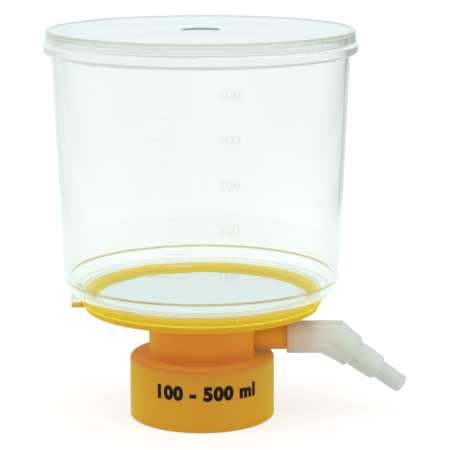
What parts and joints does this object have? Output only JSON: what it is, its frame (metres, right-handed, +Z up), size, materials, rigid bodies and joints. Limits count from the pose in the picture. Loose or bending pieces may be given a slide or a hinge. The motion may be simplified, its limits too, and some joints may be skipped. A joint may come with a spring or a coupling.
{
  "type": "vacuum filtration unit",
  "caption": "Bottle-top vacuum filter: clear funnel with a loose lid over a membrane in a yellow base with a threaded collar, and a stepped hose connector on a side arm.",
  "frame": {"origin": "centre of the threaded collar's rim, the face that the unit stands on", "axes": "+Z up, the common axis of collar, dish, funnel and lid; +X along the side arm; +Y away from the graduated front"},
  "size_m": [0.1232, 0.1052, 0.133],
  "materials": {
    "yellow_plastic": "gloss, slightly translucent",
    "seal_rubber": "matte silicone",
    "membrane_film": "matte",
    "cotton": "loose fibre",
    "clear_plastic": "clear, polished",
    "clear_lid_plastic": "clear, polished",
    "milky_plastic": "translucent, satin"
  },
  "bodies": {
    "filter_unit": {"filter_base": "yellow_plastic", "bottle_gasket": "seal_rubber", "membrane": "membrane_film", "cotton_plug": "cotton", "funnel": "clear_plastic", "lid": "clear_lid_plastic"},
    "connector": {"hose_connector": "milky_plastic"}
  },
  "joints": [
    {"name": "connector_swivel", "type": "hinge", "parent": "filter_unit", "child": "connector", "pos_m": [0.0335, 0, 0.0269], "axis": [1, 0, 0], "continuous": true}
  ]
}
